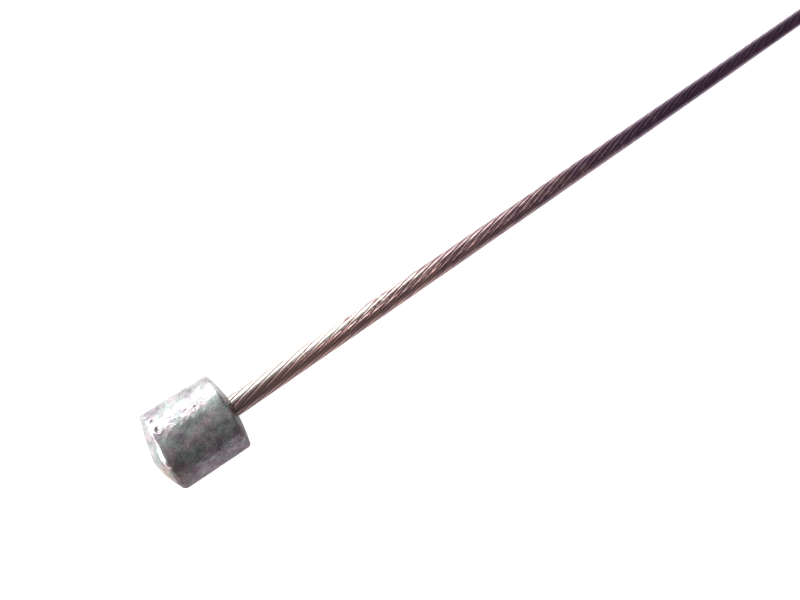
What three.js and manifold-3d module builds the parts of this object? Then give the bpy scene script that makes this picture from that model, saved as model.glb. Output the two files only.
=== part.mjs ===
// Inner shift cable of a bicycle: a steel strand of 1.2 mm, 2 m long, with a cast zinc barrel head.
// The head lies on its side, the strand runs from it along the surface, and the rest of the
// strand is wound into a neat coil that two ties hold.
// Millimetres, +Z up. The origin is on the surface under the middle of the head, and +X runs
// along the head from its crowned free end to the seat where the strand comes out.
import * as THREE from 'three';
import { mergeVertices } from 'three/addons/utils/BufferGeometryUtils.js';
import Module from 'manifold-3d';

const wasm = await Module();
wasm.setup();

// Barrel head, a zinc casting
const headDiameter = 4.4;
const headLength = 4.5; // from the top of the crown to the seat
const crownRadius = 4.7; // of the domed free end
const crownRimRadius = 0.25; // where the crown rounds into the barrel
const seatRimRadius = 0.2; // where the seat rounds into the barrel

// Strand of nineteen wires, cast into the head
const strandDiameter = 1.2;
const socketClearance = 0.1; // all round the strand, inside the head
const socketEndGap = 0.3; // beyond the end of the strand, inside the head

// Coil of the strand's spare length
const outerTurnRadius = 10.4; // to the middle of the strand
const turnGap = 0.04; // between one turn and the next
const turnsInLayer = 4.2;
const coilLayers = 9;
const coilCentre = [68.85, -8.0];

// Ties around the coil
const tieWidth = 2.4;
const tieThickness = 0.3;
const tieClearance = 0.05; // between a tie and the turns
const tieAngles = [30, 210]; // degrees around the coil, from +X

// Route of the strand from inside the head to the coil: along, across, and the height of the
// strand's underside above the surface.
const route = [
  [-0.6, -0.04, 1.6], [0.8, 0.01, 1.6], [2.25, 0.05, 1.6], [4, 0.1, 1.58], [6, 0.16, 1.46],
  [8.5, 0.23, 1.21], [11, 0.3, 0.93], [13.5, 0.37, 0.65], [16, 0.45, 0.39], [18.5, 0.52, 0.18],
  [21, 0.61, 0.05], [23.5, 0.69, 0], [26, 0.77, 0], [28.5, 0.86, 0], [31, 0.95, 0],
  [34, 1.05, 0], [37, 1.15, 0], [40, 1.27, 0], [43, 1.38, 0], [46, 1.49, 0], [49, 1.61, 0],
  [52, 1.73, 0.03], [55, 1.84, 0.13], [58, 1.96, 0.26], [61, 2.08, 0.34], [63.1, 2.16, 0.35],
];

// What follows from those sizes
const headRadius = headDiameter / 2;
const strandRadius = strandDiameter / 2;
const turnPitch = strandDiameter + turnGap;
const coilOuterRadius = outerTurnRadius + strandRadius;
const coilInnerRadius = outerTurnRadius - turnsInLayer * turnPitch - strandRadius;
const coilHeight = (coilLayers - 1) * turnPitch + strandDiameter;
const coilBottom = tieThickness + tieClearance;

// Fineness of the round shapes
const headSides = 64;
const arcSteps = 6;
const coilSides = 64;
const strandSides = 8;

const zinc = new THREE.MeshStandardMaterial({ color: 0x8e908c, roughness: 0.42, metalness: 0.9 });
const steel = new THREE.MeshStandardMaterial({ color: 0x6f6867, roughness: 0.3, metalness: 1.0 });
const tiePlastic = new THREE.MeshStandardMaterial({ color: 0x2b2c2e, roughness: 0.6, metalness: 0.0 });

// Turn a geometry into a manifold solid: shared vertices merged, collapsed triangles left out.
function solidOf(geometry) {
  const bare = geometry.clone();
  bare.deleteAttribute('normal');
  bare.deleteAttribute('uv');
  const merged = mergeVertices(bare, 1e-4);
  const corners = merged.index.array;
  const kept = [];
  for (let i = 0; i < corners.length; i += 3) {
    const [a, b, c] = [corners[i], corners[i + 1], corners[i + 2]];
    if (a !== b && b !== c && c !== a) kept.push(a, b, c);
  }
  return new wasm.Manifold(new wasm.Mesh({
    numProp: 3,
    vertProperties: new Float32Array(merged.attributes.position.array),
    triVerts: new Uint32Array(kept),
  }));
}

// Turn a manifold solid back into a geometry.
function geometryOf(solid) {
  const mesh = solid.getMesh();
  const geometry = new THREE.BufferGeometry();
  geometry.setAttribute('position', new THREE.BufferAttribute(mesh.vertProperties, 3));
  geometry.setIndex(new THREE.BufferAttribute(mesh.triVerts, 1));
  geometry.computeVertexNormals();
  return geometry;
}

// Points of an arc in a lathe profile, around (along, out), from one angle to another.
// Angle 0 points along the axis towards -Y, and a quarter turn points away from the axis.
function profileArc(along, out, radius, from, to) {
  const points = [];
  for (let i = 0; i <= arcSteps; i += 1) {
    const angle = from + ((to - from) * i) / arcSteps;
    points.push(new THREE.Vector2(out + radius * Math.sin(angle), along - radius * Math.cos(angle)));
  }
  return points;
}

// The head is turned about its axis: crown, crown rim, barrel, seat rim and flat seat. The socket
// for the strand is then cut along the strand's own direction, which is a little off the axis.
function headGeometry() {
  const crownTop = -headLength / 2;
  const seat = headLength / 2;
  const crownCentre = crownTop + crownRadius;
  const rimCentreOut = headRadius - crownRimRadius;
  const rimReach = Math.sqrt((crownRadius - crownRimRadius) ** 2 - rimCentreOut ** 2);
  const rimCentre = crownCentre - rimReach;
  const meetingAngle = Math.atan2(rimCentreOut, rimReach);
  const quarter = Math.PI / 2;
  const profile = [
    ...profileArc(crownCentre, 0, crownRadius, 0, meetingAngle),
    ...profileArc(rimCentre, rimCentreOut, crownRimRadius, meetingAngle, quarter).slice(1),
    ...profileArc(seat - seatRimRadius, headRadius - seatRimRadius, seatRimRadius, quarter, 2 * quarter),
    new THREE.Vector2(0, seat),
  ];
  profile[0].x = 0;
  const blank = new THREE.LatheGeometry(profile, headSides);
  blank.rotateZ(-quarter);
  blank.translate(0, 0, headRadius);
  return geometryOf(solidOf(blank).subtract(solidOf(socketGeometry(seat))));
}

// The socket reaches from beyond the strand's end to outside the seat.
function socketGeometry(seat) {
  const [strandEnd, , strandExit] = routePoints();
  const direction = strandExit.clone().sub(strandEnd).normalize();
  const outside = strandRadius;
  const length = socketEndGap + (seat + outside - strandEnd.x) / direction.x;
  const socket = new THREE.CylinderGeometry(
    strandRadius + socketClearance, strandRadius + socketClearance, length, headSides / 2);
  socket.translate(0, length / 2 - socketEndGap, 0);
  const turn = new THREE.Quaternion().setFromUnitVectors(new THREE.Vector3(0, 1, 0), direction);
  socket.applyQuaternion(turn);
  socket.translate(strandEnd.x, strandEnd.y, strandEnd.z);
  return socket;
}

// The strand's centre line as points in space.
function routePoints() {
  return route.map(([along, across, under]) => new THREE.Vector3(along, across, under + strandRadius));
}

// The uncoiled strand is a plain round section carried along its route.
function runGeometry() {
  const path = new THREE.CatmullRomCurve3(routePoints());
  const section = new THREE.Shape();
  for (let i = 0; i < strandSides; i += 1) {
    const angle = ((i + 0.5) / strandSides) * 2 * Math.PI;
    const x = strandRadius * Math.cos(angle);
    const y = strandRadius * Math.sin(angle);
    if (i === 0) section.moveTo(x, y);
    else section.lineTo(x, y);
  }
  section.closePath();
  return new THREE.ExtrudeGeometry(section, { steps: route.length - 1, extrudePath: path });
}

// The coil is one ring around all its turns, with its corners rounded by the strand's radius.
function coilGeometry() {
  const ring = new THREE.Shape();
  roundedRectangle(ring, coilInnerRadius, 0, coilOuterRadius, coilHeight, strandRadius);
  const profile = ring.getPoints(2);
  if (!profile[0].equals(profile[profile.length - 1])) profile.push(profile[0].clone());
  const geometry = new THREE.LatheGeometry(profile, coilSides);
  geometry.rotateX(Math.PI / 2);
  return geometry;
}

// A rounded rectangle from its low corner to its high corner, drawn counter-clockwise.
function roundedRectangle(path, left, low, right, high, radius) {
  path.moveTo(left + radius, low);
  path.lineTo(right - radius, low);
  path.quadraticCurveTo(right, low, right, low + radius);
  path.lineTo(right, high - radius);
  path.quadraticCurveTo(right, high, right - radius, high);
  path.lineTo(left + radius, high);
  path.quadraticCurveTo(left, high, left, high - radius);
  path.lineTo(left, low + radius);
  path.quadraticCurveTo(left, low, left + radius, low);
}

// A tie is a flat band around the coil's section. Its inner run is straight and the ring's hole
// is curved, so it keeps clear of the ring over the band's whole width.
function tieGeometry() {
  const innerFace = Math.sqrt(coilInnerRadius ** 2 - (tieWidth / 2) ** 2) - tieClearance;
  const outerFace = coilOuterRadius + tieClearance;
  const low = -tieClearance;
  const high = coilHeight + tieClearance;
  const cornerRadius = tieThickness;
  const band = new THREE.Shape();
  roundedRectangle(band, innerFace - tieThickness, low - tieThickness, outerFace + tieThickness,
    high + tieThickness, cornerRadius + tieThickness);
  const opening = new THREE.Path();
  roundedRectangle(opening, innerFace, low, outerFace, high, cornerRadius);
  band.holes.push(opening);
  const geometry = new THREE.ExtrudeGeometry(band, { depth: tieWidth, bevelEnabled: false, curveSegments: 4 });
  geometry.translate(0, 0, -tieWidth / 2);
  geometry.rotateX(Math.PI / 2);
  return geometry;
}

function namedMesh(name, geometry, material) {
  const mesh = new THREE.Mesh(geometry, material);
  mesh.name = name;
  return mesh;
}

const group = new THREE.Group();
group.add(namedMesh('barrel_head', headGeometry(), zinc));
group.add(namedMesh('strand_run', runGeometry(), steel));

const coilGroup = new THREE.Group();
coilGroup.position.set(coilCentre[0], coilCentre[1], coilBottom);
coilGroup.add(namedMesh('strand_coil', coilGeometry(), steel));
tieAngles.forEach((angle, index) => {
  const tie = namedMesh(`coil_tie_${index + 1}`, tieGeometry(), tiePlastic);
  tie.rotation.z = THREE.MathUtils.degToRad(angle);
  coilGroup.add(tie);
});
group.add(coilGroup);

export default group;
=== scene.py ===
"""Looks of an inner shift cable: a cast zinc barrel head on a laid steel strand.

Each surface is worked out with numpy on a grid of two parameters. Lengths are metres, +X runs
along the head towards the strand and +Z is up from the surface that the cable lies on.
"""

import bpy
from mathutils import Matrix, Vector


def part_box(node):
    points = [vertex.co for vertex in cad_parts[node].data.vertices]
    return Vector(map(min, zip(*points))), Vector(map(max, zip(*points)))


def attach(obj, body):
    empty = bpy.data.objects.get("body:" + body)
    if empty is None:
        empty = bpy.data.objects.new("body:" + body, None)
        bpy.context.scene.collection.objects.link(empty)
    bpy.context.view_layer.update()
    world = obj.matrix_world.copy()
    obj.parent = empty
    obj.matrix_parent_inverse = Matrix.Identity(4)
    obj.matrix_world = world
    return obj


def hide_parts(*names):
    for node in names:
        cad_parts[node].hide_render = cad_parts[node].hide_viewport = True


bl_info = {
    "name": "Shift cable",
    "version": (1, 0, 0),
    "blender": (4, 5, 0),
    "location": "3D View > Sidebar > Shift cable",
    "description": "Builds a shift cable's barrel head, strand and coil ties, and its stage",
    "category": "Add Mesh",
}

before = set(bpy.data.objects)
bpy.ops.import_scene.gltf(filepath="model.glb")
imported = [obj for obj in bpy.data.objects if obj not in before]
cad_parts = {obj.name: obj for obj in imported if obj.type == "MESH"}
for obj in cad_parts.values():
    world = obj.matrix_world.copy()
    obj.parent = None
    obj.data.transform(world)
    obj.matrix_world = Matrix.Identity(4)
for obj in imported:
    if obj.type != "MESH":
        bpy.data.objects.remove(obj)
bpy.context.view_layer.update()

import math

import bpy
import numpy as np
from bpy.props import (
    FloatProperty, FloatVectorProperty, IntProperty, PointerProperty,
)
from mathutils import Matrix, Vector

MM = 0.001
BODY = "root"
HEAD_LOW, HEAD_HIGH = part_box("barrel_head")
COIL_LOW, COIL_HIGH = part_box("strand_coil")
COIL_CENTRE = ((COIL_LOW.x + COIL_HIGH.x) / 2, (COIL_LOW.y + COIL_HIGH.y) / 2)
COIL_RADIUS = (COIL_HIGH.x - COIL_LOW.x) / 2
TIES = {"coil_tie_1": 30.0, "coil_tie_2": 210.0}

# Route of the strand from inside the head to the coil, in millimetres: along, across, and the
# height of the strand's underside above the surface.
ROUTE = (
    (-0.6, -0.04, 1.6), (0.8, 0.01, 1.6), (2.25, 0.05, 1.6), (4, 0.1, 1.58), (6, 0.16, 1.46),
    (8.5, 0.23, 1.21), (11, 0.3, 0.93), (13.5, 0.37, 0.65), (16, 0.45, 0.39), (18.5, 0.52, 0.18),
    (21, 0.61, 0.05), (23.5, 0.69, 0), (26, 0.77, 0), (28.5, 0.86, 0), (31, 0.95, 0),
    (34, 1.05, 0), (37, 1.15, 0), (40, 1.27, 0), (43, 1.38, 0), (46, 1.49, 0), (49, 1.61, 0),
    (52, 1.73, 0.03), (55, 1.84, 0.13), (58, 1.96, 0.26), (61, 2.08, 0.34), (63.1, 2.16, 0.35),
)

# Pits in the casting beside the crown: along the axis in millimetres, degrees around it from the
# top towards +Y, half length, half width and depth in millimetres.
PITS = (
    (-1.19, 28.0, 0.10, 0.14, 0.09),
    (-1.23, 45.0, 0.11, 0.09, 0.08),
    (-1.62, 22.0, 0.07, 0.06, 0.03),
    (0.04, 38.0, 0.07, 0.15, 0.03),
    (0.34, 31.0, 0.06, 0.06, 0.03),
    (0.79, 28.0, 0.08, 0.07, 0.03),
    (-1.6, -18.0, 0.16, 0.16, 0.02),
)

# Noise of the cast skin: height and cell in millimetres, and a seed.
SKIN_NOISE = ((0.008, 0.6, 3), (0.007, 0.25, 4), (0.003, 0.11, 5))

NOISE_POINTS = 64  # along each side of a noise table, after which the noise repeats
SOCKET_RINGS = 16  # last rings of the head, from just outside the socket's lip to its floor


def length_setting(name, description, millimetres):
    """A length that the panel shows, given in millimetres."""
    return FloatProperty(
        name=name, description=description, default=millimetres * MM, unit="LENGTH", precision=6)


def angle_setting(name, description, degrees):
    """An angle that the panel shows, given in degrees."""
    return FloatProperty(name=name, description=description, default=math.radians(degrees), subtype="ANGLE")


def colour_setting(name, description, values):
    """A colour that the panel shows."""
    return FloatVectorProperty(name=name, description=description, default=values, subtype="COLOR")


class HeadSizes(bpy.types.PropertyGroup):
    """Sizes of the cast barrel head that its box doesn't give."""

    crown_radius: length_setting("Crown radius", "Radius of the domed free end", 4.7)
    crown_rim: length_setting("Crown rim", "Rounding between the crown and the barrel", 0.34)
    seat_rim: length_setting("Seat rim", "Rounding between the barrel and the seat", 0.2)
    socket_depth: length_setting("Socket depth", "How deep the strand's socket goes below the seat", 3.1)
    seat_fall: length_setting("Seat fall", "How far the seat's rim lies behind its flat", 0.15)
    seat_swell: length_setting("Seat swell", "How far the zinc swells out around the strand", 0.12)
    crown_flat: length_setting("Crown flat", "How far the crown falls short of its dome on one side", 0.12)


class StrandSizes(bpy.types.PropertyGroup):
    """Sizes of the strand, its lay and its coil."""

    diameter: length_setting("Diameter", "Diameter over the outer wires", 1.2)
    length: length_setting("Length", "Length from the end in the head to the fused tip", 2000)
    outer_wires: IntProperty(
        name="Outer wires", description="Wires in the outer layer", default=12)
    drawn: length_setting("Drawn depth", "How much the die took off the crowns of the wires", 0.055)
    lay: length_setting("Lay", "Length in which a wire goes once round, left-handed", 14)
    tip_length: length_setting("Tip length", "Length over which the wires are fused at the tip", 4)
    turn_gap: length_setting("Turn gap", "Room between neighbouring turns of the coil", 0.04)
    turns: FloatProperty(
        name="Turns in a layer", description="Turns in each flat layer of the coil", default=4.2)
    layers: IntProperty(name="Layers", description="Layers of the coil", default=9)


class TieSizes(bpy.types.PropertyGroup):
    """Sizes of the two twisted ties around the coil."""

    width: length_setting("Width", "Width of the flat band", 2.4)
    film: length_setting("Film", "Thickness of the band beside its wire", 0.12)
    ridge: length_setting("Ridge", "Thickness of the band over its wire", 0.3)
    clearance: length_setting("Clearance", "Room between the band and the turns", 0.05)
    twist_length: length_setting("Twist length", "Length of the twisted ends", 5.0)


class Finishes(bpy.types.PropertyGroup):
    """Colours of the zinc, the steel and the ties."""

    zinc_cool: colour_setting("Zinc, greenish", "Cast zinc in its greenish patches", (0.455, 0.54, 0.525))
    zinc_warm: colour_setting("Zinc, purplish", "Cast zinc in its purplish patches", (0.565, 0.495, 0.55))
    steel_near: colour_setting("Steel, brown", "Oiled steel wires by the head", (0.52, 0.265, 0.238))
    # Painted highlight: paler steel on the strand's +Y side by the head, where the window's highlight
    # falls.
    steel_painted_highlight: colour_setting(
        "Steel, bare", "Steel wires by the head where the oil is thin", (0.80, 0.73, 0.67))
    steel_far: colour_setting("Steel, plum", "Oiled steel wires further along", (0.205, 0.108, 0.20))
    steel_coiled: colour_setting("Steel, coiled", "Oiled steel wires in the coil", (0.235, 0.175, 0.205))
    # Dried oil and painted shade darkening the grooves between the wires.
    groove_grime_and_shade: colour_setting("Grime", "Dried oil in the grooves between the wires", (0.20, 0.10, 0.085))
    tie: colour_setting("Ties", "Plastic of the ties", (0.03, 0.03, 0.034))


class StageLook(bpy.types.PropertyGroup):
    """Camera and light around the cable."""

    lens: FloatProperty(
        name="Lens", description="Focal length on a 36 mm wide picture, in millimetres",
        default=28.0)
    elevation: angle_setting("Elevation", "How steeply the camera looks down", 69.57)
    slant: angle_setting("Slant", "Angle of the head's axis to the picture's lower edge", 32.62)
    position: FloatVectorProperty(
        name="Camera position", description="Where the camera is", subtype="TRANSLATION",
        default=(0.695 * MM, 0.028 * MM, 36.38 * MM), precision=6)
    window_turn: angle_setting("Window direction", "Direction of the window around the head, from +X", 110)
    window_distance: length_setting("Window distance", "Distance of the window from the head", 300)
    window_width: length_setting("Window width", "Width of the window", 850)
    window_height: length_setting("Window height", "Height of the window", 210)
    window_glow: FloatProperty(
        name="Window brightness", description="Radiance of the window", default=3.5)
    side_turn: angle_setting("Side direction", "Direction of the side light from +X", 183)
    side_width: length_setting("Side width", "Width of the side light", 180)
    side_height: length_setting("Side height", "Height of the side light", 260)
    side_glow: FloatProperty(
        name="Side brightness", description="Radiance of the side light", default=7.0)
    lamp_place: FloatVectorProperty(
        name="Lamp position", description="Where the small lamp hangs", subtype="TRANSLATION",
        default=(0.155, 0.015, 0.26))
    lamp_width: length_setting("Lamp width", "Width of the small lamp", 30)
    lamp_glow: FloatProperty(
        name="Lamp brightness", description="Radiance of the small lamp", default=12.0)


GROUPS = {
    "cable_head": HeadSizes,
    "cable_strand": StrandSizes,
    "cable_ties": TieSizes,
    "cable_finishes": Finishes,
    "cable_stage": StageLook,
}


# Meshes


def grid_faces(rows, columns, start=0):
    """Quads of a grid of rows by columns points, row after row, each row closing on itself."""
    row = np.arange(rows - 1)[:, None] * columns
    column = np.arange(columns)[None, :]
    after = (column + 1) % columns
    quads = np.stack([row + column, row + after, row + columns + after, row + columns + column], -1)
    return quads.reshape(-1, 4) + start


def fan_faces(pole, ring):
    """Triangles from a pole point to each side of a closed ring."""
    return np.stack([np.full_like(ring, pole), ring, np.roll(ring, -1)], 1)


def halving_faces(fine, coarse):
    """Faces between a ring and the next one with half as many points, over each coarse side."""
    middle, last = fine[1::2], np.roll(fine[0::2], -1)
    after = np.roll(coarse, -1)
    sides = np.stack([fine[0::2], middle, coarse], 1)
    return np.vstack([sides, np.stack([middle, last, after], 1), np.stack([middle, after, coarse], 1)])


def make_piece(name, points, faces):
    """A smooth mesh object from points and arrays of faces."""
    mesh = bpy.data.meshes.new(name)
    mesh.from_pydata(points, [], [corners for part in faces for corners in part.tolist()])
    mesh.polygons.foreach_set("use_smooth", np.ones(len(mesh.polygons), bool))
    mesh.validate()
    mesh.update()
    piece = bpy.data.objects.new(name, mesh)
    bpy.context.scene.collection.objects.link(piece)
    return piece


def value_noise(points, cell, seed):
    """Smooth noise from -1 to 1: random values on a cubic lattice of the given cell, blended
    between the eight nearest lattice points by 3t^2 - 2t^3 along each axis."""
    table = np.random.default_rng(seed).uniform(-1.0, 1.0, (NOISE_POINTS,) * 3)
    place = points / cell
    low = np.floor(place).astype(int)
    share = place - low
    share = share * share * (3.0 - 2.0 * share)
    total = np.zeros(len(points))
    for corner in np.ndindex(2, 2, 2):
        corner = np.array(corner)
        weight = np.where(corner, share, 1.0 - share).prod(1)
        index = (low + corner) % NOISE_POINTS
        total += weight * table[index[:, 0], index[:, 1], index[:, 2]]
    return total


def smooth_step(value, low, high):
    """0 below low, 1 above high, and 3t^2 - 2t^3 between."""
    t = np.clip((value - low) / (high - low), 0.0, 1.0)
    return t * t * (3.0 - 2.0 * t)


# The strand


def route_line(points, step):
    """A smooth line through given points: between two of them a cubic whose slopes at the
    points are the slopes of the chords on either side, weighted by their lengths."""
    chord = np.linalg.norm(np.diff(points, axis=0), axis=1)
    at = np.concatenate([[0.0], np.cumsum(chord)])
    slope = np.gradient(points, at, axis=0)
    wanted = np.linspace(0.0, at[-1], int(at[-1] / step) + 2)
    i = np.clip(np.searchsorted(at, wanted, side="right") - 1, 0, len(chord) - 1)
    span = chord[i][:, None]
    t = ((wanted - at[i]) / chord[i])[:, None]
    start_share = 2 * t**3 - 3 * t**2 + 1
    start_slope = t**3 - 2 * t**2 + t
    end_share = 3 * t**2 - 2 * t**3
    end_slope = t**3 - t**2
    return (start_share * points[i] + start_slope * span * slope[i]
            + end_share * points[i + 1] + end_slope * span * slope[i + 1])


def coil_line(sizes, entry_angle):
    """The coil's turns: in each layer the radius changes by one pitch a turn, inwards and
    outwards in turn, and between layers the strand climbs one pitch in a quarter turn."""
    pitch = sizes.diameter + sizes.turn_gap
    outer = COIL_RADIUS - sizes.diameter / 2
    inner = outer - sizes.turns * pitch
    climb = math.pi / 2
    steps_a_turn = 96
    angle, radius, height = entry_angle, outer, COIL_LOW.z + sizes.diameter / 2
    pieces = []
    for layer in range(sizes.layers):
        goal = inner if layer % 2 == 0 else outer
        sweep = 2 * math.pi * sizes.turns
        share = np.linspace(0.0, 1.0, int(steps_a_turn * sizes.turns))[1:]
        pieces.append(np.stack([
            angle - sweep * share, radius + (goal - radius) * share, np.full_like(share, height)], 1))
        angle, radius = angle - sweep, goal
        share = np.linspace(0.0, 1.0, steps_a_turn // 4)[1:]
        pieces.append(np.stack([
            angle - climb * share, np.full_like(share, radius),
            height + pitch * smooth_step(share, 0.0, 1.0)], 1))
        angle, height = angle - climb, height + pitch
    turns = np.concatenate(pieces)
    return np.stack([
        COIL_CENTRE[0] + turns[:, 1] * np.cos(turns[:, 0]),
        COIL_CENTRE[1] + turns[:, 1] * np.sin(turns[:, 0]),
        turns[:, 2]], 1)


def strand_line(sizes):
    """The whole centre line, cut at the strand's length, with a point every 0.1 mm. Also gives
    how far along it each point lies, and where the uncoiled stretch ends."""
    step = 0.1 * MM
    points = np.array(ROUTE) * MM
    points[:, 2] += sizes.diameter / 2
    heading = points[-1] - points[-3]
    outer = COIL_RADIUS - sizes.diameter / 2
    closing_in = (sizes.diameter + sizes.turn_gap) / (2 * math.pi * outer)
    entry = math.pi / 2 + math.atan2(heading[1], heading[0]) + closing_in
    turns = coil_line(sizes, entry)
    first = np.array([
        COIL_CENTRE[0] + outer * math.cos(entry), COIL_CENTRE[1] + outer * math.sin(entry),
        COIL_LOW.z + sizes.diameter / 2])
    near = (points[-1] + first) / 2
    run = route_line(np.vstack([points, near, first]), step)
    line = np.vstack([run, turns])
    along = np.concatenate([[0.0], np.cumsum(np.linalg.norm(np.diff(line, axis=0), axis=1))])
    if along[-1] < sizes.length:
        raise RuntimeError("the coil has too few turns for the strand's length")
    wanted = np.append(np.arange(0.0, sizes.length, step), sizes.length)
    even = np.stack([np.interp(wanted, along, line[:, k]) for k in range(3)], 1)
    return even, wanted, along[len(run) - 1]


def strand_outline(angle, wires, radius, drawn):
    """Distance from the centre line to the outside of a ring of touching round wires that a die
    has drawn down. For an angle a from the nearest wire's middle a round wire reaches
    p cos a + sqrt(w^2 - p^2 sin^2 a), with p the radius that the wires' middles lie on and w a
    wire's own radius, and the die cuts that off at the strand's radius."""
    half = math.pi / wires
    wire = (radius + drawn) * math.sin(half) / (1.0 + math.sin(half))
    middle = radius + drawn - wire
    off = (angle + half) % (2 * half) - half
    inside = np.maximum(wire**2 - (middle * np.sin(off)) ** 2, 0.0)
    return np.minimum(middle * np.cos(off) + np.sqrt(inside), radius)


def strand_rings(sizes, line, along, at, places):
    """Rings of the drawn outline at the given distances along the centre line, turned back by
    one turn in each lay, so that the wires run left-handed. places are the points of one wire,
    from -1 at its groove over 0 at its crown. At the tip the grooves fade out and the ring
    shrinks as a quarter ellipse. Also gives each point's turn around the strand, as cosine and
    sine, and its distance along in lays."""
    nearby = 0.2 * MM
    centre, ahead, behind = (
        np.stack([np.interp(at + shift, along, line[:, k]) for k in range(3)], 1)
        for shift in (0.0, nearby, -nearby))
    tangent = ahead - behind
    tangent /= np.linalg.norm(tangent, axis=1)[:, None]
    up = np.array([0.0, 0.0, 1.0]) - tangent[:, 2:3] * tangent
    up /= np.linalg.norm(up, axis=1)[:, None]
    side = np.cross(tangent, up)
    half = math.pi / sizes.outer_wires
    around = (np.arange(sizes.outer_wires)[:, None] * 2 + np.array(places)[None, :]).ravel() * half
    radius = sizes.diameter / 2
    lobed = strand_outline(around, sizes.outer_wires, radius, sizes.drawn)
    tip_start = sizes.length - sizes.tip_length
    melting_over, melted_share, melted_radius = 0.4 * sizes.tip_length, 0.8, 0.95 * radius
    fused = melted_share * smooth_step(at, tip_start, tip_start + melting_over)[:, None]
    ring = lobed[None, :] * (1 - fused) + melted_radius * fused
    rounded_over = 0.8 * radius
    to_end = np.clip((sizes.length - at) / rounded_over, 0.0, 1.0)
    ring = ring * np.sqrt(1.0 - (1.0 - to_end) ** 2)[:, None]
    turned = around[None, :] - (at / sizes.lay * 2 * math.pi)[:, None]
    rings = (centre[:, None, :]
             + (ring * np.cos(turned))[..., None] * up[:, None, :]
             + (ring * np.sin(turned))[..., None] * side[:, None, :])
    lays = np.repeat((at / sizes.lay)[:, None], len(around), 1)
    turn = np.broadcast_to(around, lays.shape)
    return rings.reshape(-1, 3), np.stack([np.cos(turn), np.sin(turn), lays], -1).reshape(-1, 3)


def strand_surface(sizes):
    """The strand's points, faces and places on its wires: eight points on each wire and close
    rings where the strand is uncoiled, half as many points in the coil, and a pole at each end."""
    line, along, run_length = strand_line(sizes)
    fine_step, coarse_step = 0.3 * MM, 1.25 * MM
    tip_start = sizes.length - sizes.tip_length
    fine_at = np.arange(0.0, run_length, fine_step)
    tip_rings = 14
    tip = tip_start + sizes.tip_length * np.sin(np.linspace(0.0, math.pi / 2, tip_rings + 1))[:-1]
    coarse_at = np.concatenate([np.arange(run_length + fine_step, tip_start, coarse_step), tip])
    fine_places = (-1, -0.9, -0.78, -0.6, 0, 0.6, 0.78, 0.9)
    coarse_places = (-1, -0.78, 0, 0.78)
    fine, fine_turn = strand_rings(sizes, line, along, fine_at, fine_places)
    coarse, coarse_turn = strand_rings(sizes, line, along, coarse_at, coarse_places)
    columns = sizes.outer_wires * len(fine_places)
    halved = columns // 2
    count = len(fine)
    points = np.vstack([fine, coarse, line[0], line[-1]])
    end_turn = [[1.0, 0.0, 0.0], [1.0, 0.0, sizes.length / sizes.lay]]
    places = np.vstack([fine_turn, coarse_turn, end_turn])
    ring = np.arange(columns)
    faces = [
        grid_faces(len(fine_at), columns),
        halving_faces(count - columns + ring, count + ring[:halved]),
        grid_faces(len(coarse_at), halved, count),
        fan_faces(len(points) - 2, ring[::-1]),
        fan_faces(len(points) - 1, len(points) - 2 - halved + ring[:halved]),
    ]
    return points, faces, places, line


# The head


def head_profile(sizes, length, radius, strand_radius):
    """Half section of the head as distance along the axis from the top of the crown and
    distance out: an arc for the crown, one for its rim, the barrel, an arc for the seat's rim,
    the seat swelling towards the strand as 1 - (r / rim)^2, its lip and the socket's wall and
    floor. Also gives how many points lie before the barrel and before the seat."""
    crown_points, rim_points, barrel_points = 62, 16, 120
    seat_rim_points, seat_points, lip_points, wall_points = 12, 44, 6, 8
    quarter = math.pi / 2
    rim_out = radius - sizes.crown_rim
    reach = math.sqrt((sizes.crown_radius - sizes.crown_rim) ** 2 - rim_out**2)
    rim_at = sizes.crown_radius - reach
    meeting = math.atan2(rim_out, reach)

    def arc(at, out, r, start, end, count):
        angle = np.linspace(start, end, count)
        return np.stack([at - r * np.cos(angle), out + r * np.sin(angle)], 1)

    def straight(start, end, count):
        share = np.linspace(0.0, 1.0, count)[1:-1, None]
        return np.array(start) * (1 - share) + np.array(end) * share

    crown = arc(sizes.crown_radius, 0.0, sizes.crown_radius, 0.0, meeting, crown_points)[1:]
    crown_rim = arc(rim_at, rim_out, sizes.crown_rim, meeting, quarter, rim_points)[1:]
    edge = length - sizes.seat_fall
    seat_rim = arc(edge - sizes.seat_rim, radius - sizes.seat_rim, sizes.seat_rim,
                   quarter, 2 * quarter, seat_rim_points)
    barrel = straight(crown_rim[-1], seat_rim[0], barrel_points)
    mouth = 1.03 * strand_radius
    lip = 0.06 * MM
    swell = sizes.seat_fall + sizes.seat_swell
    lip_at = edge + swell * (1.0 - ((mouth + lip) / seat_rim[-1][1]) ** 2)
    turn = np.linspace(0.0, quarter, lip_points)
    round_lip = np.stack([lip_at - lip * (1 - np.cos(turn)), mouth + lip * (1 - np.sin(turn))], 1)
    seat = straight(seat_rim[-1], (edge, mouth + lip), seat_points)
    seat[:, 0] += swell * (1.0 - (seat[:, 1] / seat_rim[-1][1]) ** 2)
    socket_floor = length - sizes.socket_depth
    wall = straight(round_lip[-1], (socket_floor, mouth), wall_points)
    floor = np.array([[socket_floor, mouth], [socket_floor, mouth / 2]])
    before_barrel = len(crown) + len(crown_rim)
    before_seat = before_barrel + len(barrel) + len(seat_rim)
    profile = np.vstack([crown, crown_rim, barrel, seat_rim, seat, round_lip, wall, floor])
    return profile, before_barrel, before_seat


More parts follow.
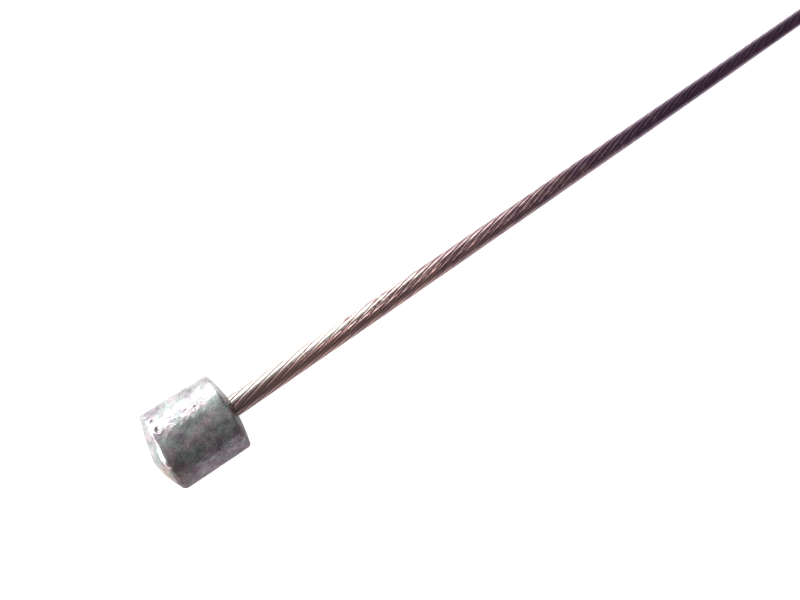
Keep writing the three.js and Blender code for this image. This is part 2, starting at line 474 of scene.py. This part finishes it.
def head_relief(sizes, flat_points, along, turn, radius, before_barrel, before_seat):
    """How far the cast skin stands out of the plain form: smooth noise of three sizes, pits as
    hollows exp(-d^2) with a low lip around them, and a crown that falls short of its dome on
    the +Y side and a little on the other."""
    rows, columns = len(along), len(turn)
    skin = sum(height * value_noise(flat_points, cell * MM, seed) for height, cell, seed in SKIN_NOISE)
    relief = skin.reshape(rows, columns) * MM
    for at, degrees, half_length, half_width, depth in PITS:
        round_by = (turn[None, :] - math.radians(degrees) + math.pi) % (2 * math.pi) - math.pi
        off = (((along[:, None] - at * MM) / (half_length * MM)) ** 2
               + (round_by * radius / (half_width * MM)) ** 2)
        lip = 0.25 * np.exp(-((np.sqrt(off) - 1.5) / 0.4) ** 2)
        relief = relief - depth * MM * (np.exp(-off) - lip)
    across = flat_points[:, 1].reshape(rows, columns) / radius
    plus_side = smooth_step(across, -0.1, 0.3) * (1 - smooth_step(across, 0.8, 1.0))
    minus_side = smooth_step(-across, 0.4, 0.7) * (1 - smooth_step(-across, 0.85, 1.0))
    short = sizes.crown_flat * (plus_side + 0.3 * minus_side)
    on_crown = 1 - smooth_step(np.arange(rows) / before_barrel, 0.85, 1.0)
    on_skin = np.where(np.arange(rows) < before_seat, 1.0, 0.4)
    on_skin[-SOCKET_RINGS:] = 0.0
    return relief * on_skin[:, None] - short * on_crown[:, None]


def head_surface(sizes, strand):
    """The head's half section turned about its axis, its relief added along the outward
    direction of the section and sunk by its own height. The rings by the socket are centred on
    the strand. Gives points and faces, with a pole at each end."""
    length = HEAD_HIGH.x - HEAD_LOW.x
    radius = (HEAD_HIGH.y - HEAD_LOW.y) / 2
    profile, before_barrel, before_seat = head_profile(sizes, length, radius, strand.diameter / 2)
    columns = 320
    turn = np.arange(columns) / columns * 2 * math.pi
    tangent = np.gradient(profile, axis=0)
    outward = np.stack([-tangent[:, 1], tangent[:, 0]], 1)
    outward /= np.linalg.norm(outward, axis=1)[:, None]
    socket_end, _, strand_exit = np.array(ROUTE[:3])[:, :2] * MM
    slope = (strand_exit - socket_end)[1] / (strand_exit - socket_end)[0]
    along = profile[:, 0] + HEAD_LOW.x
    by_socket = 1.0 - smooth_step(profile[:, 1], 0.7 * strand.diameter, 1.3 * strand.diameter)
    by_socket[:before_seat] = 0.0
    shift = by_socket * (strand_exit[1] + slope * (along - HEAD_HIGH.x))
    out_y, out_z = np.sin(turn), np.cos(turn)
    points = np.stack([
        np.repeat(along[:, None], columns, 1),
        profile[:, 1:2] * out_y + shift[:, None],
        profile[:, 1:2] * out_z + radius], -1)
    normal = np.stack([
        np.repeat(outward[:, 0:1], columns, 1), outward[:, 1:2] * out_y, outward[:, 1:2] * out_z], -1)
    relief = head_relief(sizes, points.reshape(-1, 3), along, turn, radius, before_barrel, before_seat)
    sunk = 0.008 * MM
    points = (points + normal * (relief - sunk)[..., None]).reshape(-1, 3)
    first = np.arange(columns)
    last = first + (len(along) - 1) * columns
    points = np.vstack([points, points[first].mean(0), points[last].mean(0)])
    faces = [grid_faces(len(along), columns)[:, ::-1], fan_faces(len(points) - 2, first),
             fan_faces(len(points) - 1, last[::-1])]
    return points, faces


# The ties


def tie_loop(inner, outer, low, high, corner, step):
    """A rounded rectangle in the plane of distance from the coil's axis and height: four quarter
    arcs joined by straight lines, then points at even steps. Gives points and outward normals."""
    quarter = np.linspace(0.0, math.pi / 2, 9)
    centres = ((outer - corner, high - corner), (inner + corner, high - corner),
               (inner + corner, low + corner), (outer - corner, low + corner))
    angle = np.concatenate([quarter + k * math.pi / 2 for k in range(4)])
    normal = np.stack([np.cos(angle), np.sin(angle)], 1)
    point = np.repeat(np.array(centres), len(quarter), 0) + corner * normal
    closed = np.vstack([point, point[:1]])
    along = np.concatenate([[0.0], np.cumsum(np.linalg.norm(np.diff(closed, axis=0), axis=1))])
    wanted = np.arange(0.0, along[-1] - step / 2, step)
    turned = np.append(angle, angle[0] + 2 * math.pi)
    even = np.stack([np.interp(wanted, along, closed[:, k]) for k in range(2)], 1)
    facing = np.interp(wanted, along, turned)
    return even, np.stack([np.cos(facing), np.sin(facing)], 1)


def tie_band(sizes, inner, outer, low, high):
    """The flat band around the coil's section: its inner side is flat and its outer side stands
    out by film + (ridge - film) exp(-(w / 0.16 width)^2) over the wire, w being the distance from
    the band's middle, with edges rounded off and a slight crinkle."""
    step, points_across = 0.25 * MM, 17
    crinkle_cell, crinkle_height = 0.8 * MM, 0.02 * MM
    path, normal = tie_loop(inner, outer, low, high, sizes.ridge, step)
    across = np.linspace(-1.0, 1.0, points_across)
    half = sizes.width / 2
    rise = sizes.film + (sizes.ridge - sizes.film) * np.exp(-((across / 0.32) ** 2))
    rise = rise * np.sqrt(1.0 - 0.8 * np.abs(across) ** 12)
    w = np.concatenate([across * half, across[-2:0:-1] * half])
    h = np.concatenate([np.zeros_like(across), rise[-2:0:-1]])
    h[0] = h[len(across) - 1] = 0.4 * sizes.film
    out = path[:, None, :] + normal[:, None, :] * h[None, :, None]
    points = np.stack([out[..., 0], np.repeat(w[None, :], len(path), 0), out[..., 1]], -1)
    crinkle = value_noise(points.reshape(-1, 3), crinkle_cell, 9).reshape(points.shape[:2])
    crinkle = crinkle_height * crinkle * (h > 0)[None, :]
    points[..., 0] -= crinkle * np.abs(normal[:, 0:1])
    points[..., 2] -= crinkle * np.abs(normal[:, 1:2]) * np.sign(normal[:, 1:2])
    rows, columns = points.shape[:2]
    ring = grid_faces(rows, columns)
    seam = np.stack([np.arange(columns), np.roll(np.arange(columns), -1)], 1)
    last = (rows - 1) * columns
    closing = np.stack([last + seam[:, 0], last + seam[:, 1], seam[:, 1], seam[:, 0]], 1)
    return points.reshape(-1, 3), [np.vstack([ring, closing])[:, ::-1]]


def tie_twist(sizes, outer, middle):
    """The band's two ends twisted together: a waisted section, its radius 0.2 + 0.2 cos^2 of the
    angle in millimetres, turning three times on its way down beside the band, and thinning at
    both ends as a quarter ellipse."""
    rings, columns, turns = 72, 20, 3
    share = np.linspace(0.0, 1.0, rings)
    turn = np.arange(columns) / columns * 2 * math.pi
    radius = (0.2 + 0.2 * np.cos(turn) ** 2) * MM
    end = np.sqrt(1.0 - (1.0 - np.clip(np.minimum(share, 1 - share) / 0.05, 0.02, 1.0)) ** 2)
    spin = turn[None, :] + 2 * math.pi * turns * share[:, None]
    ring = radius[None, :] * end[:, None]
    beside_band, lean = 0.2 * MM, 0.42 * MM
    axis_out = outer + beside_band + lean * smooth_step(share, 0.0, 0.3)
    axis_up = middle + sizes.twist_length * (0.5 - share)
    points = np.stack([
        axis_out[:, None] + ring * np.cos(spin), ring * np.sin(spin),
        np.repeat(axis_up[:, None], columns, 1)], -1).reshape(-1, 3)
    last = (rings - 1) * columns
    points = np.vstack([points, points[:columns].mean(0), points[last:].mean(0)])
    edge = np.arange(columns)
    count = len(points)
    faces = [grid_faces(rings, columns)[:, ::-1], fan_faces(count - 2, edge),
             fan_faces(count - 1, (last + edge)[::-1])]
    return points, faces


def tie_surface(sizes, strand, degrees):
    """A tie's band and twisted ends, set at its angle around the coil."""
    coil_inner = COIL_RADIUS - strand.diameter - strand.turns * (strand.diameter + strand.turn_gap)
    inner = math.sqrt(coil_inner**2 - (sizes.width / 2) ** 2) - sizes.clearance
    outer = COIL_RADIUS + sizes.clearance
    low, high = COIL_LOW.z - sizes.clearance, COIL_HIGH.z + sizes.clearance
    band, band_faces = tie_band(sizes, inner, outer, low, high)
    twist, twist_faces = tie_twist(sizes, outer, (low + high) / 2)
    points = np.vstack([band, twist])
    faces = band_faces + [part + len(band) for part in twist_faces]
    c, s = math.cos(math.radians(degrees)), math.sin(math.radians(degrees))
    x = COIL_CENTRE[0] + points[:, 0] * c - points[:, 1] * s
    y = COIL_CENTRE[1] + points[:, 0] * s + points[:, 1] * c
    return np.stack([x, y, points[:, 2]], 1), faces


# Materials


class Tree:
    """Makes and joins the nodes of one material or group."""

    def __init__(self, tree):
        self.tree = tree

    def add(self, kind, inputs=(), **settings):
        """A node with its settings, its inputs given as pairs of a name or number and a value
        or another node's output."""
        made = self.tree.nodes.new("ShaderNode" + kind)
        for key, value in settings.items():
            setattr(made, key, value)
        for key, value in inputs:
            self.feed(made.inputs[key], value)
        return made

    def feed(self, socket, value):
        if isinstance(value, bpy.types.NodeSocket):
            self.tree.links.new(value, socket)
        else:
            socket.default_value = value

    def math(self, operation, first, second=0.0):
        return self.add("Math", ((0, first), (1, second)), operation=operation).outputs[0]

    def times(self, first, second):
        return self.math("MULTIPLY", first, second)

    def plus(self, first, second):
        return self.math("ADD", first, second)

    def grey(self, value):
        return self.add("CombineXYZ", ((0, value), (1, value), (2, value))).outputs[0]

    def noise(self, place, scale, detail=2.0, roughness=0.5):
        pairs = (("Vector", place), ("Scale", scale), ("Detail", detail), ("Roughness", roughness))
        return self.add("TexNoise", pairs).outputs["Fac"]

    def spread(self, value, low, high, to_low=0.0, to_high=1.0):
        """The value's stretch from low to high spread over another, and clamped to it."""
        return self.add("MapRange", (
            (0, value), (1, low), (2, high), (3, to_low), (4, to_high))).outputs[0]

    def ranging(self, share, start, end):
        """A value that goes from start to end as the share goes from 0 to 1."""
        return self.spread(share, 0.0, 1.0, start, end)

    def blend(self, share, first, second, how="MIX"):
        made = self.tree.nodes.new("ShaderNodeMix")
        made.data_type = "RGBA"
        made.blend_type = how
        self.feed(made.inputs["Factor"], share)
        self.feed(made.inputs[6], first)
        self.feed(made.inputs[7], second)
        return made.outputs[2]

    def tint(self, share, base, values):
        """The base with that share of it multiplied by a colour."""
        return self.blend(share, base, colour(values), "MULTIPLY")

    def shade(self, base, value):
        """The base multiplied by a value."""
        return self.blend(1.0, base, self.grey(value), "MULTIPLY")

    def bump(self, height, distance, over=None):
        pairs = [("Height", height), ("Distance", distance), ("Strength", 1.0)]
        if over is not None:
            pairs.append(("Normal", over))
        return self.add("Bump", pairs).outputs["Normal"]


def colour(values, share=1.0):
    """A colour property as four numbers, lightened or darkened by a share."""
    return (*(share * value for value in values), 1.0)


def new_material(name):
    """An empty node material, its tree and its Principled shader's inputs."""
    material = bpy.data.materials.new(name)
    material.use_nodes = True
    return material, Tree(material.node_tree), material.node_tree.nodes["Principled BSDF"].inputs


def mottle_group():
    """Clouds, grain and specks of a worked or cast surface, as values from 0 to 1."""
    group = bpy.data.node_groups.new("mottle", "ShaderNodeTree")
    for name, kind in (("Vector", "NodeSocketVector"), ("Cloud Scale", "NodeSocketFloat"),
                       ("Grain Scale", "NodeSocketFloat")):
        group.interface.new_socket(name, in_out="INPUT", socket_type=kind)
    for name in ("Clouds", "Tint", "Grain", "Specks"):
        group.interface.new_socket(name, in_out="OUTPUT", socket_type="NodeSocketFloat")
    tree = Tree(group)
    given = group.nodes.new("NodeGroupInput").outputs
    result = group.nodes.new("NodeGroupOutput").inputs
    clouds = tree.noise(given["Vector"], given["Cloud Scale"], 3.0, 0.6)
    tree.feed(result["Clouds"], tree.spread(clouds, 0.32, 0.68))
    aside = tree.add("VectorMath", ((0, given["Vector"]), (1, (0.71, 0.37, 0.53))), operation="ADD")
    tint = tree.noise(aside.outputs[0], given["Cloud Scale"], 2.0, 0.7)
    tree.feed(result["Tint"], tree.spread(tint, 0.38, 0.62))
    grain = tree.noise(given["Vector"], given["Grain Scale"], 2.0, 0.7)
    tree.feed(result["Grain"], tree.spread(grain, 0.3, 0.7))
    specks = tree.noise(aside.outputs[0], tree.times(given["Grain Scale"], 0.6), 1.0, 0.5)
    tree.feed(result["Specks"], tree.spread(specks, 0.65, 0.74))
    return group


def add_mottle(tree, place, cloud_scale, grain_scale):
    """One use of the mottle group with its own scales."""
    group = bpy.data.node_groups.get("mottle") or mottle_group()
    return tree.add("Group", (("Vector", place), ("Cloud Scale", cloud_scale),
                              ("Grain Scale", grain_scale)), node_tree=group).outputs


def zinc_material(finishes):
    """Dull cast zinc: grey metal, clouded greenish and purplish, with a fine gritty grain, dark
    specks, painted shade low on the -Y side, with a darker patch there near the crown, where the crown
    itself is paler, and painted shade, brown, on the seat around the strand."""
    material, tree, shader = new_material("cast_zinc")
    place = tree.add("TexCoord").outputs["Object"]
    sides = tree.add("SeparateXYZ", ((0, place),)).outputs
    along, across = sides["X"], sides["Y"]
    mottle = add_mottle(tree, place, 1900.0, 13000.0)
    base = tree.blend(mottle["Tint"], colour(finishes.zinc_cool), colour(finishes.zinc_warm))
    clouded = tree.blend(mottle["Clouds"], colour((0.56, 0.54, 0.56)), colour((1.28, 1.27, 1.22)))
    base = tree.blend(1.0, base, clouded, "MULTIPLY")
    gritty = tree.blend(mottle["Grain"], colour((0.60, 0.60, 0.62)), colour((1.38, 1.37, 1.34)))
    base = tree.blend(1.0, base, gritty, "MULTIPLY")
    speck = colour((0.10, 0.10, 0.09))
    base = tree.blend(tree.times(mottle["Specks"], 0.6), base, speck)

    # Painted shade: the low -Y side is darkened and purpled, mottled by the clouds, standing in for the
    # shadow that side sees.
    shaded_from, shaded_to = -0.2 * MM, -1.9 * MM
    low_side_shade = tree.spread(across, shaded_from, shaded_to)
    low_side_shade = tree.times(low_side_shade, tree.ranging(mottle["Clouds"], 1.0, 0.75))
    base = tree.tint(low_side_shade, base, (0.60, 0.46, 0.55))

    crown_from, crown_to = -1.68 * MM, -1.80 * MM
    on_crown = tree.spread(along, crown_from, crown_to)
    off_crown = tree.math("SUBTRACT", 1.0, on_crown)
    # A darker patch low on the -Y side of the barrel, near the crown.
    dark_patch = tree.times(tree.spread(across, -0.2 * MM, -0.7 * MM), tree.spread(along, -0.6 * MM, -1.5 * MM))
    base = tree.tint(tree.times(dark_patch, off_crown), base, (0.70, 0.66, 0.62))
    pale = tree.spread(across, -0.3 * MM, -1.0 * MM)
    base = tree.tint(tree.times(pale, on_crown), base, (1.54, 1.32, 1.10))

    # Painted shade: the seat is darkened brown around where the strand enters, standing in for the shade at
    # the strand's root.
    strand_side = 0.3 * MM
    off_strand = tree.math("ABSOLUTE", tree.plus(across, strand_side))
    off_strand = tree.plus(off_strand, tree.ranging(mottle["Clouds"], -0.2 * MM, 0.2 * MM))
    seat_from, seat_to = 1.92 * MM, 2.12 * MM
    seat_root_shade = tree.times(tree.spread(off_strand, 1.9 * MM, 0.8 * MM), tree.spread(along, seat_from, seat_to))
    base = tree.tint(seat_root_shade, base, (0.22, 0.17, 0.15))

    tree.feed(shader["Base Color"], base)
    shader["Metallic"].default_value = 1.0
    tree.feed(shader["Roughness"], tree.ranging(mottle["Grain"], 0.42, 0.30))
    grit = tree.bump(tree.noise(place, 7000.0, 3.0, 0.65), 0.018 * MM)
    tree.feed(shader["Normal"], tree.bump(mottle["Specks"], -0.004 * MM, grit))
    return material


def wire_place(tree, wires):
    """Where a point lies on its wire: the wire's number, the share from its crown (0) to its
    groove (1), a vector of lays along the strand and wires around it, the lays alone, and how
    far to the strand's +Y side the point lies, from -1 to 1."""
    stored = tree.add("Attribute", attribute_name="wire_turn").outputs["Vector"]
    parts = tree.add("SeparateXYZ", ((0, stored),)).outputs
    turn = tree.math("ARCTAN2", parts["Y"], parts["X"])
    wire = tree.plus(tree.times(turn, wires / (2 * math.pi)), wires + 0.5)
    number = tree.math("MODULO", tree.math("FLOOR", wire), float(wires))
    off = tree.math("ABSOLUTE", tree.math("SUBTRACT", tree.math("FRACT", wire), 0.5))
    flat = tree.add("CombineXYZ", ((0, parts["Z"]), (1, wire), (2, 0.0))).outputs[0]
    around = tree.math("SUBTRACT", turn, tree.times(parts["Z"], 2 * math.pi))
    aside = tree.times(tree.math("SINE", around), -1.0)
    return number, tree.times(off, 2.0), flat, parts["Z"], aside


def steel_material(finishes, strand):
    """Drawn steel wires under a film of oil: brown by the head, paler there on the +Y side as a
    painted highlight, plum further on and greyer in the coil. Each wire is a little different,
    with fine lines along it, dried oil and painted shade in the grooves, and painted shade at
    the root by the head. Places along the strand are given in lays."""
    material, tree, shader = new_material("drawn_steel")
    number, to_groove, on_wire, lays, aside = wire_place(tree, strand.outer_wires)
    mottle = add_mottle(tree, tree.add("TexCoord").outputs["Object"], 1100.0, 9000.0)
    stretched = tree.add("VectorMath", ((0, on_wire), (1, (5.0, 5.0, 1.0))), operation="MULTIPLY")
    lines = tree.noise(stretched.outputs[0], 1.0, 3.0, 0.6)
    own = tree.add("TexWhiteNoise", (("W", number),), noise_dimensions="1D").outputs["Value"]

    browned_to, plum_from = 0.7, 2.8
    coiled_from, coiled_to = 4.3, 5.5
    fading = tree.plus(lays, tree.ranging(mottle["Tint"], -0.4, 0.4))
    away = tree.spread(fading, browned_to, plum_from)
    base = tree.blend(away, colour(finishes.steel_near), colour(finishes.steel_far))
    base = tree.blend(tree.spread(lays, coiled_from, coiled_to), base, colour(finishes.steel_coiled))

    # Painted highlight: the steel is made pale on the +Y side, which faces the window, fading along the
    # strand.
    window_side = tree.spread(aside, 0.1, 0.35)
    painted_highlight = tree.times(window_side, tree.spread(fading, 0.65, 1.1, 0.95, 0.3))
    painted_highlight = tree.times(painted_highlight, tree.spread(away, 0.2, 0.7, 1.0, 0.0))
    base = tree.blend(painted_highlight, base, colour(finishes.steel_painted_highlight))

    tone = tree.plus(tree.ranging(own, -0.14, 0.14), tree.spread(lines, 0.3, 0.7, -0.16, 0.16))
    tone = tree.plus(tone, tree.ranging(mottle["Clouds"], 0.88, 1.12))
    tone = tree.times(tone, tree.spread(fading, 0.8, 1.4, 1.0, 0.78))
    base = tree.shade(base, tone)

    # Dried oil and painted shade: the grooves between the wires are darkened, less where the highlight is
    # painted and further along.
    oil = tree.times(tree.spread(to_groove, 0.62, 1.0), tree.ranging(mottle["Clouds"], 0.7, 1.0))
    oil = tree.times(oil, tree.ranging(away, 1.0, 0.4))
    oil = tree.times(oil, tree.spread(painted_highlight, 0.0, 0.6, 1.0, 0.1))
    base = tree.blend(oil, base, colour(finishes.groove_grime_and_shade))
    # Painted shade: the strand is darkened where it leaves the head, standing in for the shade at its root.
    strand_root_shade = tree.spread(lays, 0.2, 0.6, 0.62, 1.0)
    base = tree.shade(base, strand_root_shade)

    tree.feed(shader["Base Color"], base)
    shader["Metallic"].default_value = 1.0
    dull = tree.plus(tree.spread(lines, 0.3, 0.7, 0.27, 0.17), tree.times(oil, 0.3))
    # Rougher where the highlight is painted, so that it spreads.
    tree.feed(shader["Roughness"], tree.plus(dull, tree.times(painted_highlight, 0.14)))
    tree.feed(shader["Coat Weight"], tree.ranging(away, 1.0, 0.15))
    shader["Coat IOR"].default_value = 2.0
    shader["Coat Roughness"].default_value = 0.1
    along_lines = tree.bump(lines, 0.006 * MM)
    tree.feed(shader["Normal"], tree.bump(mottle["Grain"], 0.002 * MM, along_lines))
    return material


def tie_material(finishes):
    """Dull black plastic with a fine grain."""
    material, tree, shader = new_material("tie_plastic")
    place = tree.add("TexCoord").outputs["Object"]
    mottle = add_mottle(tree, place, 500.0, 5000.0)
    base = tree.blend(mottle["Clouds"], colour(finishes.tie, 0.8), colour(finishes.tie, 1.5))
    tree.feed(shader["Base Color"], base)
    tree.feed(shader["Roughness"], tree.ranging(mottle["Grain"], 0.45, 0.62))
    tree.feed(shader["Normal"], tree.bump(mottle["Grain"], 0.02 * MM))
    return material


def floor_material():
    """A white floor: rays from the camera, from gloss and through glass see a white glow. For gloss
    and glass the glow is painted light, weaker on the side away from the window, standing in for
    the floor's shadow there. The floor takes light and shadow too."""
    material, tree, shader = new_material("white_floor")
    shader["Base Color"].default_value = (0.8, 0.8, 0.8, 1)
    shader["Roughness"].default_value = 0.9
    shader["Emission Color"].default_value = (1.0, 1.0, 1.0, 1)
    glow = 0.86
    path = tree.add("LightPath").outputs
    # Painted light: the glow seen in reflections is brighter towards the window and dimmer away from it,
    # standing in for the floor's shadow.
    towards = tree.add("VectorMath", (
        (0, tree.add("TexCoord").outputs["Object"]), (1, (0.1, 0.99, 0.0))), operation="DOT_PRODUCT")
    near_window = tree.spread(towards.outputs["Value"], -4 * MM, 3 * MM, 0.08, 0.88)
    seen = tree.times(path["Is Camera Ray"], glow)
    mirrored = tree.plus(path["Is Glossy Ray"], path["Is Transmission Ray"])
    mirrored = tree.times(mirrored, tree.times(near_window, glow))
    tree.feed(shader["Emission Strength"], tree.plus(seen, mirrored))
    return material


def studio_world():
    """Plain grey surroundings: pale at the horizon, darker overhead, lighter towards the window,
    and white where the camera looks straight at them."""
    world = bpy.data.worlds.new("studio")
    world.use_nodes = True
    tree = Tree(world.node_tree)
    direction = tree.add("TexCoord").outputs["Generated"]
    towards = tree.add("VectorMath", ((0, direction), (1, (-0.45, 0.55, 0.7))), operation="DOT_PRODUCT")
    darkest, lightest, at_horizon = 0.14, 0.34, 0.52
    level = tree.ranging(towards.outputs["Value"], darkest, lightest)
    height = tree.add("SeparateXYZ", ((0, direction),)).outputs["Z"]
    horizon = tree.spread(height, 0.04, 0.3, at_horizon, 0.0)
    level = tree.math("MAXIMUM", level, horizon)
    level = tree.math("MAXIMUM", level, tree.add("LightPath").outputs["Is Camera Ray"])
    tree.feed(world.node_tree.nodes["Background"].inputs["Color"], tree.grey(level))
    return world


def area_light(name, place, target, width, height, glow):
    """A rectangle of light at a place, facing a target. Its power is its radiance times pi times
    its area."""
    light = bpy.data.objects.new(name, bpy.data.lights.new(name, "AREA"))
    light.data.shape = "RECTANGLE"
    light.data.size, light.data.size_y = width, height
    light.data.energy = glow * math.pi * width * height
    facing = (Vector(target) - Vector(place)).to_track_quat("-Z", "Y").to_matrix().to_4x4()
    light.matrix_world = Matrix.Translation(place) @ facing
    light.visible_camera = False
    bpy.context.scene.collection.objects.link(light)


def standing_light(name, turn, distance, width, height, glow):
    """An upright rectangle of light that stands on the floor, facing the head."""
    middle = (0.0, 0.0, height / 2)
    place = (distance * math.cos(turn), distance * math.sin(turn), height / 2)
    area_light(name, place, middle, width, height, glow)


# Operators


class CABLE_OT_head(bpy.types.Operator):
    """Build the cast barrel head"""

    bl_idname = "cable.head"
    bl_label = "Barrel head"

    def execute(self, context):
        scene = context.scene
        points, faces = head_surface(scene.cable_head, scene.cable_strand)
        piece = make_piece("zinc_head", points, faces)
        piece.data.materials.append(zinc_material(scene.cable_finishes))
        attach(piece, BODY)
        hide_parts("barrel_head")
        return {"FINISHED"}


class CABLE_OT_ties(bpy.types.Operator):
    """Build the two ties around the coil"""

    bl_idname = "cable.ties"
    bl_label = "Coil ties"

    def execute(self, context):
        scene = context.scene
        plastic = tie_material(scene.cable_finishes)
        for node, degrees in TIES.items():
            points, faces = tie_surface(scene.cable_ties, scene.cable_strand, degrees)
            piece = make_piece("twisted_" + node, points, faces)
            piece.data.materials.append(plastic)
            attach(piece, BODY)
            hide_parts(node)
        return {"FINISHED"}


class CABLE_OT_strand(bpy.types.Operator):
    """Build the laid steel strand along its route and coil"""

    bl_idname = "cable.strand"
    bl_label = "Strand"

    def execute(self, context):
        sizes = context.scene.cable_strand
        points, faces, places, line = strand_surface(sizes)
        piece = make_piece("steel_strand", points, faces)
        stored = piece.data.attributes.new("wire_turn", "FLOAT_VECTOR", "POINT")
        stored.data.foreach_set("vector", places.ravel())
        piece.data.materials.append(steel_material(context.scene.cable_finishes, sizes))
        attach(piece, BODY)
        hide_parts("strand_run", "strand_coil")
        exit_point = np.array(ROUTE[2]) * MM
        exit_point[2] += sizes.diameter / 2
        return {"FINISHED"}


class CABLE_OT_stage(bpy.types.Operator):
    """Set the floor, the surroundings, the camera and the three lights"""

    bl_idname = "cable.stage"
    bl_label = "Stage"

    def execute(self, context):
        scene = context.scene
        look = scene.cable_stage
        scene.view_settings.view_transform = "Standard"
        scene.world = studio_world()
        reach = 1.5
        corners = np.array([[-reach, -reach, 0], [reach, -reach, 0], [reach, reach, 0], [-reach, reach, 0]])
        floor = make_piece("floor", corners, [np.array([[0, 1, 2, 3]])])
        floor.data.materials.append(floor_material())

        camera = bpy.data.objects.new("camera", bpy.data.cameras.new("camera"))
        camera.data.lens = look.lens
        camera.data.sensor_width = 36.0
        camera.data.clip_start = 1 * MM
        camera.data.clip_end = 5.0
        down = look.elevation
        forward = np.array([math.cos(down), 0.0, -math.sin(down)])
        level_up = np.array([math.sin(down), 0.0, math.cos(down)])
        level_right = np.array([0.0, -1.0, 0.0])
        right = math.cos(look.slant) * level_up + math.sin(look.slant) * level_right
        up = math.sin(look.slant) * level_up - math.cos(look.slant) * level_right
        turned = np.stack([right, up, -forward], 1)
        camera.matrix_world = Matrix.Translation(look.position) @ Matrix(turned.tolist()).to_4x4()
        scene.collection.objects.link(camera)
        scene.camera = camera

        standing_light("window", look.window_turn, look.window_distance,
                       look.window_width, look.window_height, look.window_glow)
        standing_light("side_light", look.side_turn, look.window_distance,
                       look.side_width, look.side_height, look.side_glow)
        lit_place = (17 * MM, 0.0, 0.0)
        area_light("lamp", look.lamp_place, lit_place, look.lamp_width, look.lamp_width, look.lamp_glow)
        return {"FINISHED"}


class VIEW3D_PT_shift_cable(bpy.types.Panel):
    """Sizes of the cable and the buttons that build it"""

    bl_label = "Shift cable"
    bl_space_type = "VIEW_3D"
    bl_region_type = "UI"
    bl_category = "Shift cable"

    def draw(self, context):
        for name, group in GROUPS.items():
            box = self.layout.box()
            box.label(text=group.__doc__)
            for key in group.__annotations__:
                box.prop(getattr(context.scene, name), key)
        for operator in OPERATORS:
            self.layout.operator(operator.bl_idname)


OPERATORS = (CABLE_OT_stage, CABLE_OT_ties, CABLE_OT_strand, CABLE_OT_head)


def register():
    for group in GROUPS.values():
        bpy.utils.register_class(group)
    for name, group in GROUPS.items():
        setattr(bpy.types.Scene, name, PointerProperty(type=group))
    for operator in OPERATORS:
        bpy.utils.register_class(operator)
    bpy.utils.register_class(VIEW3D_PT_shift_cable)


def unregister():
    bpy.utils.unregister_class(VIEW3D_PT_shift_cable)
    for operator in reversed(OPERATORS):
        bpy.utils.unregister_class(operator)
    for name in GROUPS:
        delattr(bpy.types.Scene, name)
    for group in GROUPS.values():
        bpy.utils.unregister_class(group)


def main():
    register()
    bpy.ops.cable.stage()
    bpy.ops.cable.ties()
    bpy.ops.cable.strand()
    bpy.ops.cable.head()


if __name__ == "__main__":
    main()
